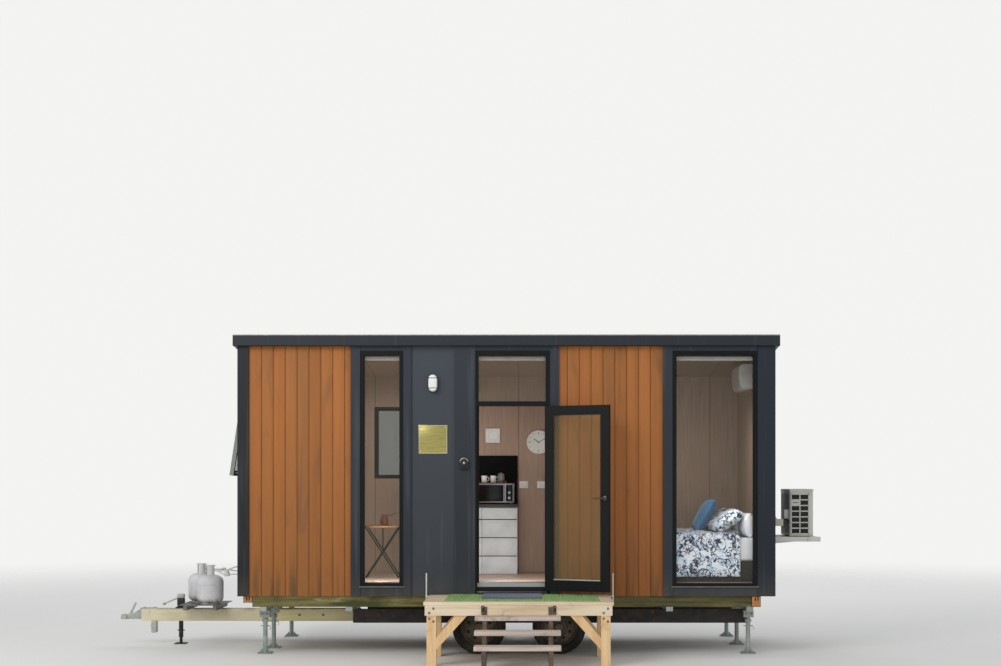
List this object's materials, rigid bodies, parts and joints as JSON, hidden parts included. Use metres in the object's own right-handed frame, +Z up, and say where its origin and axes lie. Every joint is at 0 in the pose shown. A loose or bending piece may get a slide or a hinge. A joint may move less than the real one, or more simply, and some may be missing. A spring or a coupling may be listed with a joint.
{
  "type": "tiny cabin on a tandem-axle trailer",
  "caption": "Timber- and steel-clad tiny cabin on a tandem-axle trailer with stabiliser legs, tall windows, a hinged glass door, a timber landing and steps.",
  "frame": {"origin": "middle of the footprint's bounding box, on the ground", "axes": "+X runs to the right along the front from the tow coupling to the air conditioner, +Y runs from the steps to the back wall, +Z is up"},
  "size_m": [8.24, 4.115, 3.573],
  "materials": {
    "dark_iron": "dull dark paint",
    "galvanised_steel": "dull galvanised steel",
    "drawbar_steel": "weathered beige galvanised steel",
    "rubber": "dusty tyre on a dark steel rim",
    "mossy_timber": "weathered, green with moss",
    "amber_lens": "clear amber",
    "lining": "pale plywood",
    "dark_steel": "satin blue-charcoal steel",
    "roof_sheet": "satin roof sheet",
    "clad_timber": "oiled vertical boards",
    "black_aluminium": "satin black",
    "clear_glass": "clear sealed unit",
    "mill_aluminium": "mill finish",
    "satin_chrome": "satin",
    "opal": "opal lens in a black cage",
    "brass": "brushed",
    "white_enamel": "off-white enamel",
    "white_plastic": "satin white",
    "bottle_paint": "pale grey paint",
    "pine": "raw treated pine",
    "yellow_pine": "raw pine, yellow-orange",
    "turf": "short artificial turf",
    "bench_laminate": "pale grey laminate",
    "table_wood": "brown timber top on black legs",
    "bed_fabric": "dark woven",
    "bed_linen": "white cotton",
    "duvet_cotton": "pale blue cotton with dark blue blotches"
  },
  "bodies": {
    "root": {"chassis_rails": "dark_iron", "chassis_crossmembers": "galvanised_steel", "drawbar": "drawbar_steel", "bottle_tray": "galvanised_steel", "tow_coupling": "galvanised_steel", "jockey_leg": "dark_iron", "axles": "dark_iron", "stabiliser_legs": "galvanised_steel", "floor_bearers": "mossy_timber", "floor_joists": "mossy_timber", "marker_lamps": "amber_lens", "floor_panel": "lining", "front_wall": "lining", "front_wall_header": "lining", "front_wall_base": "lining", "left_end_wall": "dark_steel", "right_end_wall": "dark_steel", "back_wall": "dark_steel", "roof_panel": "roof_sheet", "roof_flashing": "dark_steel", "steel_cladding": "dark_steel", "timber_cladding": "clad_timber", "front_window_frames": "black_aluminium", "transom_frame": "black_aluminium", "window_glass": "clear_glass", "door_jambs": "black_aluminium", "door_sill": "mill_aluminium", "side_window_frames": "black_aluminium", "awning_sash": "black_aluminium", "wall_light": "opal", "sign_plate": "brass", "key_box": "dark_iron", "outdoor_unit": "white_enamel", "outdoor_unit_shelf": "white_enamel", "indoor_unit": "white_plastic", "gas_bottles": "bottle_paint", "gas_pipes": "white_plastic", "landing_boards": "pine", "landing_frame": "pine", "landing_legs": "yellow_pine", "step_stringers": "pine", "step_treads": "pine", "landing_mat": "turf", "kitchen_bench": "bench_laminate", "microwave": "satin_chrome", "wall_clock": "white_plastic", "folding_table": "table_wood", "bed_base": "bed_fabric", "mattress": "bed_linen", "duvet": "duvet_cotton", "pillows": "bed_linen"},
    "door": {"door_leaf": "black_aluminium", "door_glass": "clear_glass", "door_handle": "satin_chrome"},
    "wheel_front_left": {"wheel_front_left": "rubber"},
    "wheel_front_right": {"wheel_front_right": "rubber"},
    "wheel_back_left": {"wheel_back_left": "rubber"},
    "wheel_back_right": {"wheel_back_right": "rubber"}
  },
  "joints": [
    {"name": "door_hinge", "type": "hinge", "parent": "root", "child": "door", "pos_m": [0.9295, -0.3975, 1.75], "axis": [0, 0, 1], "range_deg": [-155, 5]},
    {"name": "wheel_front_left_spin", "type": "hinge", "parent": "root", "child": "wheel_front_left", "pos_m": [0.17, -0.1875, 0.3], "axis": [0, 1, 0], "continuous": true},
    {"name": "wheel_front_right_spin", "type": "hinge", "parent": "root", "child": "wheel_front_right", "pos_m": [1.07, -0.1875, 0.3], "axis": [0, 1, 0], "continuous": true},
    {"name": "wheel_back_left_spin", "type": "hinge", "parent": "root", "child": "wheel_back_left", "pos_m": [0.17, 1.8125, 0.3], "axis": [0, 1, 0], "continuous": true},
    {"name": "wheel_back_right_spin", "type": "hinge", "parent": "root", "child": "wheel_back_right", "pos_m": [1.07, 1.8125, 0.3], "axis": [0, 1, 0], "continuous": true}
  ]
}
